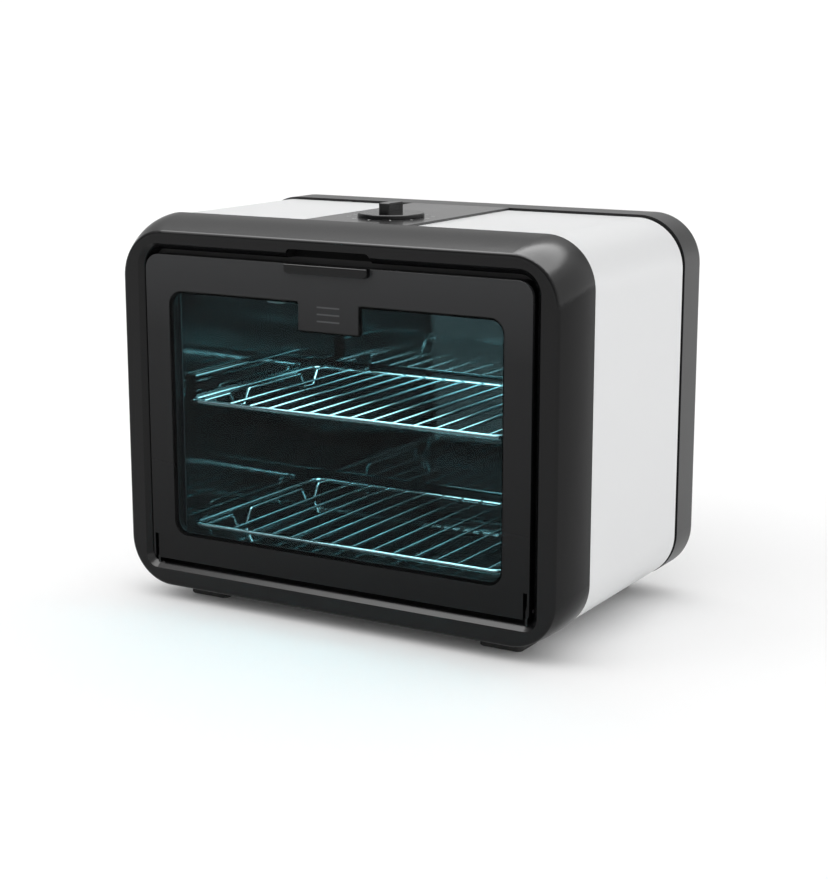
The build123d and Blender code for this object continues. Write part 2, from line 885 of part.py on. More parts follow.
# The reflector: a shallow polished trough under the ceiling.
with BuildPart() as lamp_reflector:
    with BuildSketch(sideways(-reflector_length / 2)):
        for drop, mode in ((0, Mode.ADD), (reflector_sheet, Mode.SUBTRACT)):
            top = chamber_ceiling - drop
            with BuildLine():
                Polyline(
                    (lamp_y - reflector_width / 2, top - reflector_drop),
                    (lamp_y - reflector_flat / 2, top),
                    (lamp_y + reflector_flat / 2, top),
                    (lamp_y + reflector_width / 2, top - reflector_drop),
                    close=True,
                )
            make_face(mode=mode)
    extrude(amount=reflector_length)
lamp_reflector.part.label = "lamp_reflector"
export_step(lamp_reflector.part, "parts/lamp_reflector.step")

with BuildPart() as lamp_tube:
    with BuildSketch(sideways(-tube_length / 2)):
        with Locations((lamp_y, lamp_z)):
            Circle(tube_radius)
            Circle(tube_radius - tube_wall, mode=Mode.SUBTRACT)
    extrude(amount=tube_length)
lamp_tube.part.label = "lamp_tube"
export_step(lamp_tube.part, "parts/lamp_tube.step")

# The tube's two end caps, each a cup over the glass with two contact pins.
with BuildPart() as lamp_caps:
    for side in sides:
        outer_end = side * (tube_length / 2 - cap_overlap + cap_length)
        with Locations(Plane(origin=(outer_end, lamp_y, lamp_z), z_dir=(side, 0, 0))):
            Cylinder(cap_radius, cap_length, align=(Align.CENTER, Align.CENTER, Align.MAX))
        cup_x = side * tube_length / 2
        with Locations(Plane(origin=(cup_x, lamp_y, lamp_z), z_dir=(side, 0, 0))):
            Cylinder(
                tube_radius + lamp_pin_gap,
                cap_overlap,
                align=(Align.CENTER, Align.CENTER, Align.MAX),
                mode=Mode.SUBTRACT,
            )
        for pin in sides:
            pin_z = lamp_z + pin * lamp_pin_spacing / 2
            with Locations(Plane(origin=(outer_end, lamp_y, pin_z), z_dir=(side, 0, 0))):
                Cylinder(
                    lamp_pin_radius,
                    lamp_pin_length,
                    align=(Align.CENTER, Align.CENTER, Align.MIN),
                )
lamp_caps.part.label = "lamp_caps"
export_step(lamp_caps.part, "parts/lamp_caps.step")

cap_end = tube_length / 2 - cap_overlap + cap_length
holder_x = cap_end + holder_gap + holder_thickness / 2
for name, side in (("left_lamp_holder", -1), ("right_lamp_holder", 1)):
    with BuildPart() as lamp_holder:
        holder_top = chamber_ceiling - reflector_sheet
        holder_low = lamp_z - holder_width / 2
        slab(
            holder_thickness,
            holder_width,
            holder_top - holder_low,
            side * holder_x,
            lamp_y - holder_width / 2,
            holder_low,
        )
        fillet(lamp_holder.edges().filter_by(Axis.X).group_by(Axis.Z)[0], holder_corner)
        for pin in sides:
            pin_z = lamp_z + pin * lamp_pin_spacing / 2
            holes(
                [(side * (holder_x - holder_thickness / 2), lamp_y, pin_z)],
                (side, 0, 0),
                lamp_pin_length + lamp_pin_gap,
                lamp_pin_radius + lamp_pin_gap,
            )
    lamp_holder.part.label = name
    export_step(lamp_holder.part, f"parts/{name}.step")

# ================= Electrics under and behind the chamber =================

with BuildPart() as ballast:
    body_length = ballast_length - 2 * ballast_tab
    slab(body_length, ballast_width, ballast_height, 0, ballast_y, base_top)
    tab_y = ballast_y + ballast_width / 4
    slab(ballast_length, ballast_width / 2, ballast_tab_height, 0, tab_y, base_top)
    holes(ballast_screws_at, (0, 0, 1), ballast_height)
ballast.part.label = "ballast"
export_step(ballast.part, "parts/ballast.step")

with BuildPart() as ballast_screws:
    screws(ballast_screws_at, (0, 0, 1), base_thickness + ballast_tab_height)
ballast_screws.part.label = "ballast_screws"
export_step(ballast_screws.part, "parts/ballast_screws.step")

with BuildPart() as terminal_block:
    slab(terminal_length, terminal_width, terminal_height, terminal_x, terminal_y, base_top)
    with Locations((terminal_x, terminal_y + terminal_width / 2, base_top + terminal_height)):
        with GridLocations(terminal_pitch, terminal_row_gap, 3, 2):
            Hole(terminal_hole_radius, terminal_hole_depth)
terminal_block.part.label = "terminal_block"
export_step(terminal_block.part, "parts/terminal_block.step")

# The cord's gland in the rear cover: a flanged bush outside and a nut inside.
outward = Plane(origin=(gland_x, cover_y, gland_z), z_dir=(0, 1, 0))
inward = Plane(origin=(gland_x, cover_inner_y, gland_z), z_dir=(0, -1, 0))
gland_flange_length = gland_reach + cover_gap
gland_thread_length = cover_thickness + gland_nut_length
with BuildPart() as cord_gland:
    with BuildSketch(outward):
        Circle(gland_radius)
    extrude(amount=gland_flange_length, taper=gland_taper)
    with BuildSketch(outward):
        Circle(gland_body_radius)
    extrude(amount=-gland_thread_length)
    with BuildSketch(outward.offset(gland_flange_length)):
        Circle(gland_bore)
    extrude(amount=-(gland_flange_length + gland_thread_length), mode=Mode.SUBTRACT)
cord_gland.part.label = "cord_gland"
export_step(cord_gland.part, "parts/cord_gland.step")

with BuildPart() as gland_nut:
    with BuildSketch(inward):
        RegularPolygon(gland_nut_radius, 6)
        Circle(gland_body_radius + gland_nut_gap, mode=Mode.SUBTRACT)
    extrude(amount=gland_nut_length)
gland_nut.part.label = "gland_nut"
export_step(gland_nut.part, "parts/gland_nut.step")

with BuildPart() as reed_switch:
    slab(
        reed_length,
        reed_depth,
        reed_width,
        magnet_spacing / 2,
        chamber_y,
        magnet_z - reed_width / 2,
    )
    fillet(reed_switch.edges().filter_by(Axis.Y), reed_corner)
reed_switch.part.label = "reed_switch"
export_step(reed_switch.part, "parts/reed_switch.step")

# Internal leads, each a straight-run path with round bends.
low_z = base_top + lead_low
under_z = base_top + lead_high
over_z = chamber_over + lead_over
timer_lead_z = timer_z + timer_lead_rise
rear_gap_y = (chamber_rear_y + sheet + cover_inner_y) / 2
drop_y = chamber_rear_y + lead_drop_gap
ballast_rear = ballast_y + ballast_width
terminal_rear = terminal_y + terminal_width
near_terminal_x = terminal_x - terminal_lead_offset
far_terminal_x = terminal_x + terminal_lead_offset
supply_lead = [
    (gland_x, cover_inner_y - gland_nut_length, gland_z),
    (gland_x, drop_y, gland_z),
    (gland_x, drop_y, under_z),
    (gland_x, crossing_y, under_z),
    (far_terminal_x, crossing_y, under_z),
    (far_terminal_x, terminal_rear, under_z),
]
ballast_lead = [
    (near_terminal_x, terminal_y, low_z),
    (near_terminal_x, ballast_mid_y, low_z),
    (ballast_length / 2 - ballast_tab, ballast_mid_y, low_z),
]
lamp_leads = [
    [
        (side * ballast_lead_x, ballast_rear, under_z),
        (side * ballast_lead_x, rear_gap_y, under_z),
        (side * ballast_lead_x, rear_gap_y, over_z),
        (side * ballast_lead_x, lamp_y, over_z),
        (side * holder_x, lamp_y, over_z),
        (side * holder_x, lamp_y, chamber_over),
    ]
    for side in sides
]
timer_lead = [
    (near_terminal_x, terminal_rear, low_z),
    (near_terminal_x, rear_gap_y, low_z),
    (near_terminal_x, rear_gap_y, timer_lead_z),
    (near_terminal_x, knob_y, timer_lead_z),
    (timer_size / 2, knob_y, timer_lead_z),
]
with BuildPart() as wiring:
    for path in (supply_lead, ballast_lead, *lamp_leads, timer_lead):
        with BuildLine() as lead:
            FilletPolyline(*path, radius=wire_bend)
        with BuildSketch(Plane(origin=lead.line @ 0, z_dir=lead.line % 0)):
            Circle(wire_radius)
        sweep(path=lead.line)
wiring.part.label = "wiring"
export_step(wiring.part, "parts/wiring.step")

# ================= Timer =================

with BuildPart() as timer_body:
    slab(timer_size, timer_size, timer_height, 0, knob_y - timer_size / 2, timer_z)
    fillet(timer_body.edges().filter_by(Axis.Z), timer_corner)
    slab(
        timer_plate_width,
        timer_plate_length,
        timer_plate_thickness,
        0,
        knob_y - timer_plate_length / 2,
        timer_plate_z,
    )
    shaft_low = timer_z + shaft_rise
    holes([(0, knob_y, shaft_low)], (0, 0, 1), timer_height, shaft_radius + shaft_running_gap)
    holes(timer_screws_at, (0, 0, 1), timer_plate_thickness)
timer_body.part.label = "timer_body"
export_step(timer_body.part, "parts/timer_body.step")

with BuildPart() as timer_screws:
    screws(timer_screws_at, (0, 0, 1), timer_plate_thickness + timer_screw_bite)
timer_screws.part.label = "timer_screws"
export_step(timer_screws.part, "parts/timer_screws.step")

knob_z = case_top + knob_gap
shaft_top = knob_z + shaft_bite
with BuildPart() as timer_shaft:
    with BuildSketch(Plane.XY.offset(shaft_low + knob_gap)):
        with Locations((0, knob_y)):
            Circle(shaft_radius)
    extrude(amount=shaft_top - shaft_low - knob_gap)
timer_shaft.part.label = "timer_shaft"
export_step(timer_shaft.part, "parts/timer_shaft.step")

# The knob: a round skirt with a straight grip bar across its middle.
with BuildPart() as timer_knob:
    with BuildSketch(Plane.XY.offset(knob_z)):
        with Locations((0, knob_y)):
            Circle(knob_radius)
    extrude(amount=knob_skirt)
    fillet(timer_knob.edges().group_by(Axis.Z)[-1], knob_round)
    with BuildSketch(Plane.XY.offset(knob_z)):
        with Locations((0, knob_y)):
            RectangleRounded(grip_width, grip_length, grip_corner)
    extrude(amount=knob_height - knob_gap)
    fillet(timer_knob.edges().group_by(Axis.Z)[-1], grip_round)
    holes([(0, knob_y, knob_z)], (0, 0, 1), shaft_top - knob_z, shaft_radius)
timer_knob.part.label = "timer_knob"
export_step(timer_knob.part, "parts/timer_knob.step")

# ================= Door =================

with BuildPart() as door_glass:
    with BuildSketch(upright(glass_y)):
        door_outline(door_width, door_bottom, door_top)
        slot_pair()
    extrude(amount=-glass_thickness)
    fillet(door_glass.faces().sort_by(Axis.Y)[0].edges(), glass_round)
    holes(handle_screws_at, (0, -1, 0), handle_screw_length)
door_glass.part.label = "door_glass"
export_step(door_glass.part, "parts/door_glass.step")

# The black border layer behind the glass, with a tab that hangs into the window.
with BuildPart() as door_border:
    with BuildSketch(upright(mask_y)):
        door_outline(
            door_width - 2 * mask_inset,
            door_bottom + mask_inset,
            door_top - mask_inset,
            -mask_inset,
        )
        with Locations((0, (window_bottom + window_top) / 2)):
            RectangleRounded(
                window_width,
                window_top - window_bottom,
                window_corner,
                mode=Mode.SUBTRACT,
            )
        rounded(tab_width, window_top - tab_drop, window_top + 2 * tab_corner, tab_corner)
        slot_pair()
    extrude(amount=-mask_thickness)
    with BuildSketch(upright(mask_y)):
        with Locations((0, window_top - mark_drop)):
            with GridLocations(1, mark_pitch, 1, mark_count):
                SlotOverall(mark_length, mark_height)
    extrude(amount=-mark_depth, mode=Mode.SUBTRACT)
    holes(handle_screws_at, (0, -1, 0), handle_screw_length)
door_border.part.label = "door_border"
export_step(door_border.part, "parts/door_border.step")

# The moulded frame behind the glass, with a lug on each side of both hinge ears.
frame_half_width = door_width / 2 - door_frame_inset
with BuildPart() as door_frame:
    with BuildSketch(upright(door_frame_y)):
        door_outline(
            2 * frame_half_width,
            door_bottom + door_frame_inset,
            door_frame_top,
            -door_frame_inset,
        )
        with Locations((0, door_frame_bottom)):
            Rectangle(door_width, door_width, align=(Align.CENTER, Align.MAX), mode=Mode.SUBTRACT)
        sill_top = door_frame_bottom + door_frame_sill
        header_low = door_frame_top - door_frame_width
        with Locations((0, (sill_top + header_low) / 2)):
            RectangleRounded(
                2 * (frame_half_width - door_frame_width),
                header_low - sill_top,
                window_corner,
                mode=Mode.SUBTRACT,
            )
        slot_pair()
    extrude(amount=-door_frame_depth)
    for side in sides:
        for low_x, width in (
            (hinge_x - slot_width / 2 - lug_width, lug_width),
            (hinge_x + slot_width / 2, door_width / 2 - hinge_x - slot_width / 2 - lug_edge_gap),
        ):
            start_x = low_x if side > 0 else -low_x - width
            with BuildSketch(sideways(start_x)):
                with Locations((hinge_y, hinge_z)):
                    Circle(lug_radius)
                    Rectangle(
                        2 * lug_radius,
                        door_frame_lift + join,
                        align=(Align.CENTER, Align.MIN),
                    )
                    Circle(hinge_pin_radius, mode=Mode.SUBTRACT)
            extrude(amount=width)
        magnet_at = (side * magnet_spacing / 2, seal_y, magnet_z)
        holes([magnet_at], (0, -1, 0), magnet_depth, magnet_radius)
    holes(handle_screws_at, (0, -1, 0), door_frame_depth)
    holes(handle_screws_at, (0, 1, 0), door_frame_depth, handle_screw_head + screw_clearance)
door_frame.part.label = "door_frame"
export_step(door_frame.part, "parts/door_frame.step")

with BuildPart() as door_seal:
    with BuildSketch(upright(seal_y)):
        reach = seal_margin + seal_width
        rounded(
            chamber_width + 2 * reach,
            chamber_floor - reach,
            chamber_ceiling + reach,
            reach,
        )
        with Locations((0, (chamber_floor + chamber_ceiling) / 2)):
            RectangleRounded(
                chamber_width + 2 * seal_margin,
                chamber_ceiling - chamber_floor + 2 * seal_margin,
                seal_margin,
                mode=Mode.SUBTRACT,
            )
    extrude(amount=-seal_height)
door_seal.part.label = "door_seal"
export_step(door_seal.part, "parts/door_seal.step")

with BuildPart() as door_magnets:
    for side in sides:
        face = (side * magnet_spacing / 2, seal_y, magnet_z)
        with Locations(Plane(origin=face, z_dir=(0, 1, 0))):
            Cylinder(magnet_radius, magnet_depth, align=(Align.CENTER, Align.CENTER, Align.MAX))
door_magnets.part.label = "door_magnets"
export_step(door_magnets.part, "parts/door_magnets.step")

with BuildPart() as hinge_pins:
    pin_length = slot_width + lug_width + hinge_inset - slot_width / 2 - lug_edge_gap
    for side in sides:
        pin_end = side * (door_width / 2 - lug_edge_gap)
        with Locations(Plane(origin=(pin_end, hinge_y, hinge_z), z_dir=(side, 0, 0))):
            Cylinder(hinge_pin_radius, pin_length, align=(Align.CENTER, Align.CENTER, Align.MAX))
hinge_pins.part.label = "hinge_pins"
export_step(hinge_pins.part, "parts/hinge_pins.step")

# The handle: a low pull along the glass's top edge, held by two screws from behind.
with BuildPart() as door_handle:
    with BuildSketch(upright(front_y - handle_reach)):
        with Locations((0, handle_top)):
            Rectangle(handle_width, handle_height, align=(Align.CENTER, Align.MAX))
    extrude(amount=-(handle_reach + door_setback))
    fillet(
        door_handle.edges().filter_by(Axis.Y).group_by(Axis.Z)[0],
        handle_corner,
    )
    fillet(door_handle.faces().sort_by(Axis.Y)[0].edges(), handle_round)
    holes(handle_screws_at, (0, -1, 0), handle_screw_length + screw_end_gap)
door_handle.part.label = "door_handle"
export_step(door_handle.part, "parts/door_handle.step")

with BuildPart() as handle_screws:
    screws(handle_screws_at, (0, -1, 0), handle_screw_length, handle_screw_head)
handle_screws.part.label = "handle_screws"
export_step(handle_screws.part, "parts/handle_screws.step")

# ================= Racks =================

half_rack = rack_width / 2
rack_rear_y = rack_y + rack_length
leg_z = chamber_floor + leg_gap + rod_wire / 2
leg_slope = (leg_top_length - leg_foot_length) / 2
for name, rack_z in (("lower_rack", lower_rack_z), ("upper_rack", upper_rack_z)):
    rod_z = rack_z + rod_rise
    leg_drop = lower_rack_z + rod_rise - leg_z
    with BuildPart() as rack:
        with BuildLine() as loop:
            FilletPolyline(
                (half_rack, rack_y, rack_z),
                (half_rack, rack_rear_y, rack_z),
                (-half_rack, rack_rear_y, rack_z),
                (-half_rack, rack_y, rack_z),
                radius=rack_corner,
                close=True,
            )
        with BuildSketch(Plane(origin=loop.line @ 0, z_dir=loop.line % 0)):
            Circle(rack_wire / 2)
        sweep(path=loop.line)
        with BuildSketch(upright(rack_y)):
            with Locations((0, rod_z)):
                with GridLocations(rod_pitch, 1, rod_count, 1):
                    Circle(rod_wire / 2)
        extrude(amount=-rack_length)
        for side in sides:
            leg_x = side * leg_rod_x
            stops = [(rack_y, rod_z)]
            for start in (leg_front, rack_length - leg_rear):
                low = rack_y + start
                stops += [
                    (low, rod_z),
                    (low + leg_slope, rod_z - leg_drop),
                    (low + leg_slope + leg_foot_length, rod_z - leg_drop),
                    (low + leg_top_length, rod_z),
                ]
            stops.append((rack_rear_y, rod_z))
            with BuildLine() as leg_rod:
                FilletPolyline(*[(leg_x, y, z) for y, z in stops], radius=leg_bend)
            with BuildSketch(Plane(origin=leg_rod.line @ 0, z_dir=leg_rod.line % 0)):
                Circle(rod_wire / 2)
            sweep(path=leg_rod.line)
    rack.part.label = name
    export_step(rack.part, f"parts/{name}.step")
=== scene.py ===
"""Ultraviolet bottle sterilizer: the finished look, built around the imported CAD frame."""
import math

import bmesh
import bpy
from mathutils import Matrix, Vector


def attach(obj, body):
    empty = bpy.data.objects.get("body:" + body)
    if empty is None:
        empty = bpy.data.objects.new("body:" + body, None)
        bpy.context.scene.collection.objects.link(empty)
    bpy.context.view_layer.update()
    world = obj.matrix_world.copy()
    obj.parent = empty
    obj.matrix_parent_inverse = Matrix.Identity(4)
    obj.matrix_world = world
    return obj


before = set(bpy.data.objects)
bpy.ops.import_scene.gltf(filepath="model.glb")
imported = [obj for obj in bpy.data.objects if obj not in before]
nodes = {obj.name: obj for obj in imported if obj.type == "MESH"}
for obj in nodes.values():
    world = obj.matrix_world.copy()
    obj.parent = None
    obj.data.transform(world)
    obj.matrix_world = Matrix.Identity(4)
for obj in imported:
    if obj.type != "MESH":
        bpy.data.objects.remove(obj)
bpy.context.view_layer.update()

# ---- The door's window, in metres ----
PANE_IOR = 1.14
PRINT_SPECULAR = 0.16
# Border print tones by height: black print with a painted reflection, darker at the bottom and
# lighter towards the top.
PRINT_TONES_WITH_PAINTED_REFLECTION = [
    (0.0, (0.0016, 0.0017, 0.0019)),
    (0.75, (0.010, 0.0102, 0.0107)),
    (1.0, (0.025, 0.0255, 0.0265)),
]
MARK_TONE = (0.055, 0.056, 0.058, 1.0)
WINDOW_HALF_WIDTH = 0.1478
WINDOW_HALF_HEIGHT = 0.0984
WINDOW_MIDDLE = 0.154
WINDOW_CORNER = 0.012
TAB_HALF_WIDTH = 0.0265
TAB_LOW = 0.2305
DOOR_LOW = 0.034
DOOR_HIGH = 0.2801
MARK_HALF_LENGTH = 0.01
MARK_PITCH = 0.0053
MARK_COUNT = 3.0
MARK_LOW = 0.23575
MARK_SHARE = 0.11
SCOOP_HALF_WIDTH = 0.0369
SCOOP_FRONT = -0.1175
SCOOP_REAR = -0.1065
SCOOP_LOW = 0.2798
SCOOP_HIGH = 0.2913

# ---- Camera ----
EYE = Vector((0.75195, -1.27538, 0.4493))
AIM = Vector((0.01598, -0.02045, 0.13253))
LENS_LENGTH = 76.7
SENSOR_WIDTH = 36.0
lens = bpy.data.cameras.new("camera")
lens.lens = LENS_LENGTH
lens.sensor_width = SENSOR_WIDTH
camera = bpy.data.objects.new("camera", lens)
camera.location = EYE
camera.rotation_mode = "QUATERNION"
camera.rotation_quaternion = (AIM - EYE).to_track_quat("-Z", "Y")
bpy.context.scene.collection.objects.link(camera)
bpy.context.scene.camera = camera


# ---- Shader maths ----
class Term:
    """A value in a material's tree that Python's arithmetic works on."""

    def __init__(self, finish, socket):
        self.finish = finish
        self.socket = socket

    def _math(self, operation, first, second):
        return self.finish.node("ShaderNodeMath", {"operation": operation}, {0: first, 1: second})

    def __add__(self, other):
        return self._math("ADD", self, other)

    __radd__ = __add__

    def __mul__(self, other):
        return self._math("MULTIPLY", self, other)

    __rmul__ = __mul__

    def __sub__(self, other):
        return self._math("SUBTRACT", self, other)

    def __rsub__(self, other):
        return self._math("SUBTRACT", other, self)

    def __truediv__(self, other):
        return self._math("DIVIDE", self, other)

    def __pow__(self, other):
        return self._math("POWER", self, other)

    def __gt__(self, other):
        return self._math("GREATER_THAN", self, other)

    def __lt__(self, other):
        return self._math("LESS_THAN", self, other)

    def __abs__(self):
        return self._math("ABSOLUTE", self, 0.0)

    def at_least(self, other):
        return self._math("MAXIMUM", self, other)


class Finish:
    """A material being made: a Principled shader and the nodes that feed it."""

    def __init__(self, name, **constants):
        self.material = bpy.data.materials.new(name)
        self.material.use_nodes = True
        self.tree = self.material.node_tree
        self.shader = self.tree.nodes["Principled BSDF"]
        for words, value in constants.items():
            socket = self.shader.inputs[words.replace("_", " ").title().replace("Ior", "IOR")]
            socket.default_value = (*value, 1.0) if isinstance(value, tuple) else value
        self.place = self.node("ShaderNodeTexCoord", {}, {}, "Object")

    def node(self, kind, settings, values, output=0):
        made = self.tree.nodes.new(kind)
        for key, value in settings.items():
            if key == "stops":
                ramp = made.color_ramp.elements
                while len(ramp) < len(value):
                    ramp.new(0.5)
                for stop, (position, colour) in zip(ramp, value):
                    stop.position = position
                    stop.color = (*colour, 1.0)
            else:
                setattr(made, key, value)
        for key, value in values.items():
            socket = made.inputs[key]
            if isinstance(value, Term):
                self.tree.links.new(value.socket, socket)
            else:
                socket.default_value = value
        return Term(self, made.outputs[output])

    def noise(self, scale, detail=2.0, roughness=0.5, stretch=None):
        place = self.place
        if stretch:
            place = self.node("ShaderNodeMapping", {}, {"Vector": place, "Scale": stretch})
        values = {"Vector": place, "Scale": scale, "Detail": detail, "Roughness": roughness}
        return self.node("ShaderNodeTexNoise", {}, values, "Fac")

    def mix(self, factor, first, second):
        return self.node(
            "ShaderNodeMix",
            {"data_type": "RGBA"},
            {0: factor, 6: (*first, 1.0), 7: (*second, 1.0)},
            2,
        )

    def feed(self, name, term):
        self.tree.links.new(term.socket, self.shader.inputs[name])

    def bump(self, height, distance):
        values = {"Height": height, "Distance": distance, "Strength": 1.0}
        self.feed("Normal", self.node("ShaderNodeBump", {}, values))


BROAD_SCALE = 14.0
FINE_SCALE = 2600.0
MOULD_GRAIN = 0.00002
DEEP_BLACK = ((0.0022, 0.0022, 0.0024), (0.003, 0.003, 0.0032))
DEEP_BLACK_SHEEN = 0.13
DEEP_BLACK_SPECULAR = 0.2
SCOOP_DULLNESS = 0.75


def moulded(name, low, high, roughness, grain=MOULD_GRAIN, specular=0.5):
    """Moulded plastic: two close tones, a fine grain and a slightly uneven sheen."""
    finish = Finish(name, specular_ior_level=specular)
    broad = finish.noise(BROAD_SCALE, 3.0)
    fine = finish.noise(FINE_SCALE, 1.0)
    finish.feed("Base Color", finish.mix(broad, low, high))
    finish.feed("Roughness", roughness + 0.05 * broad + 0.04 * fine)
    finish.bump(fine, grain)
    return finish.material


def metal(
    name,
    low,
    high,
    roughness,
    stretch=(1.0, 1.0, 1.0),
    scale=900.0,
    warp=0.0,
    spread=0.1,
):
    """Bare metal with a drawn or rolled grain, and a broad waviness where warp is given."""
    finish = Finish(name, metallic=1.0)
    grain = finish.noise(scale, 3.0, 0.6, stretch)
    broad = finish.noise(9.0, 2.0)
    finish.feed("Base Color", finish.mix(broad, low, high))
    finish.feed("Roughness", roughness + 0.6 * spread * grain + 0.5 * spread * broad)
    if warp:
        wave = finish.noise(5.0, 1.0)
        finish.bump(wave + 0.002 * grain, warp)
    else:
        finish.bump(grain, 0.000004)
    return finish.material


bezel_plastic = moulded("bezel_plastic", *DEEP_BLACK, DEEP_BLACK_SHEEN, specular=DEEP_BLACK_SPECULAR)
frame_plastic = moulded(
    "frame_plastic", (0.008, 0.008, 0.0083), (0.011, 0.011, 0.0113), 0.3, specular=0.4
)
strip_gloss = moulded(
    "strip_gloss", (0.010, 0.010, 0.0105), (0.014, 0.014, 0.0145), 0.14, grain=0.000006
)
inner_plastic = moulded("inner_plastic", (0.010, 0.010, 0.011), (0.016, 0.016, 0.017), 0.45)
rubber = moulded("rubber", (0.010, 0.010, 0.010), (0.020, 0.019, 0.019), 0.7, grain=0.00006)
seal_rubber = moulded("seal_rubber", (0.018, 0.018, 0.019), (0.03, 0.03, 0.031), 0.62, grain=0.00004)
ceramic = moulded("ceramic", (0.62, 0.60, 0.56), (0.72, 0.70, 0.66), 0.4)
timer_resin = moulded("timer_resin", (0.42, 0.35, 0.24), (0.50, 0.43, 0.31), 0.45)
lead_sheath = moulded("lead_sheath", (0.12, 0.12, 0.125), (0.18, 0.18, 0.185), 0.5)

# Chamber steel: real polished metal whose colour is darkened and tinted teal as painted shade and
# painted cyan lamp glow.
polished = metal(
    "polished",
    (0.13, 0.17, 0.175),
    (0.17, 0.21, 0.215),
    0.015,
    stretch=(1.0, 60.0, 60.0),
    scale=40.0,
    warp=0.004,
    spread=0.02,
)
chrome_wire = metal("chrome_wire", (0.60, 0.63, 0.64), (0.72, 0.75, 0.76), 0.1)
zinc = metal("zinc", (0.46, 0.47, 0.48), (0.60, 0.61, 0.63), 0.3)
screw_steel = metal("screw_steel", (0.16, 0.16, 0.17), (0.24, 0.24, 0.25), 0.3)
aluminium = metal("aluminium", (0.60, 0.61, 0.62), (0.72, 0.73, 0.74), 0.28)
magnet_steel = metal("magnet_steel", (0.40, 0.40, 0.41), (0.52, 0.52, 0.53), 0.22)


def white_coat():
    """Baked white paint on sheet, with a faint orange peel."""
    finish = Finish("white_coat", coat_weight=0.35, coat_roughness=0.12)
    broad = finish.noise(7.0, 3.0)
    peel = finish.noise(420.0, 2.0)
    finish.feed("Base Color", finish.mix(broad, (0.635, 0.64, 0.645), (0.665, 0.67, 0.675)))
    finish.feed("Roughness", 0.34 + 0.06 * broad)
    finish.bump(peel, 0.00002)
    return finish.material


def print_black():
    """The opaque border printed behind the glass, with a trace of mottling."""
    finish = Finish("print_black", specular_ior_level=0.2)
    broad = finish.noise(30.0, 3.0)
    finish.feed("Base Color", finish.mix(broad, (0.0045, 0.0045, 0.005), (0.0065, 0.0065, 0.007)))
    finish.feed("Roughness", 0.5 + 0.1 * broad)
    return finish.material


def door_pane():
    """The door's tinted glass, with its glossy black border outside the window, whose black print
    carries a painted reflection: darker at the bottom, lighter towards the top.
    """
    finish = Finish("door_pane", transmission_weight=1.0, ior=PANE_IOR)
    smear = finish.noise(11.0, 3.0)
    finish.feed("Base Color", finish.mix(smear, (0.33, 0.42, 0.435), (0.35, 0.44, 0.455)))
    finish.feed("Roughness", 0.01 * smear)

    along = finish.node("ShaderNodeSeparateXYZ", {}, {0: finish.place}, 0)
    up = Term(finish, along.socket.node.outputs[2])
    beside = (abs(along) - (WINDOW_HALF_WIDTH - WINDOW_CORNER)).at_least(0.0)
    above = (abs(up - WINDOW_MIDDLE) - (WINDOW_HALF_HEIGHT - WINDOW_CORNER)).at_least(0.0)
    outside = (beside * beside + above * above) ** 0.5 > WINDOW_CORNER
    tab = (abs(along) < TAB_HALF_WIDTH) * (up > TAB_LOW)
    border = outside.at_least(tab)

    print_shader = finish.tree.nodes.new("ShaderNodeBsdfPrincipled")
    print_shader.inputs["Specular IOR Level"].default_value = PRINT_SPECULAR
    # Painted reflection on the black border print: its tone rises with height, darker at the bottom.
    height = ((up - DOOR_LOW) / (DOOR_HIGH - DOOR_LOW)).at_least(0.0)
    lines = abs(along) < MARK_HALF_LENGTH
    line_place = (up - MARK_LOW) / MARK_PITCH
    in_band = (line_place > 0.0) * (line_place < MARK_COUNT)
    step = finish.node("ShaderNodeMath", {"operation": "FRACT"}, {0: line_place})
    lines = lines * in_band * (abs(step - 0.5) < MARK_SHARE)
    print_and_painted_reflection_tone = finish.node("ShaderNodeValToRGB", {"stops": PRINT_TONES_WITH_PAINTED_REFLECTION}, {0: height})
    marked = finish.node(
        "ShaderNodeMix",
        {"data_type": "RGBA"},
        {0: lines, 6: print_and_painted_reflection_tone, 7: MARK_TONE},
        2,
    )
    finish.tree.links.new(marked.socket, print_shader.inputs["Base Color"])
    sheen = 0.05 + 0.04 * smear
    finish.tree.links.new(sheen.socket, print_shader.inputs["Roughness"])
    blend = finish.tree.nodes.new("ShaderNodeMixShader")
    finish.tree.links.new(border.socket, blend.inputs[0])
    finish.tree.links.new(finish.shader.outputs[0], blend.inputs[1])
    finish.tree.links.new(print_shader.outputs[0], blend.inputs[2])
    surface = finish.tree.nodes["Material Output"].inputs["Surface"]
    finish.tree.links.new(blend.outputs[0], surface)
    return finish.material


def lit_tube():
    """The lamp's quartz tube, lit."""
    finish = Finish(
        "lit_tube",
        base_color=(0.55, 0.85, 0.9),
        roughness=0.15,
        emission_strength=16.0,
    )
    along = finish.noise(22.0, 1.0)
    finish.feed("Emission Color", finish.mix(along, (0.30, 0.86, 0.94), (0.38, 0.92, 1.0)))
    return finish.material


def coat_node(name, material):
    """Gives a CAD node its finish."""
    slots = nodes[name].data.materials
    if len(slots) == 0:
        slots.append(material)
    for index in range(len(slots)):
        slots[index] = material


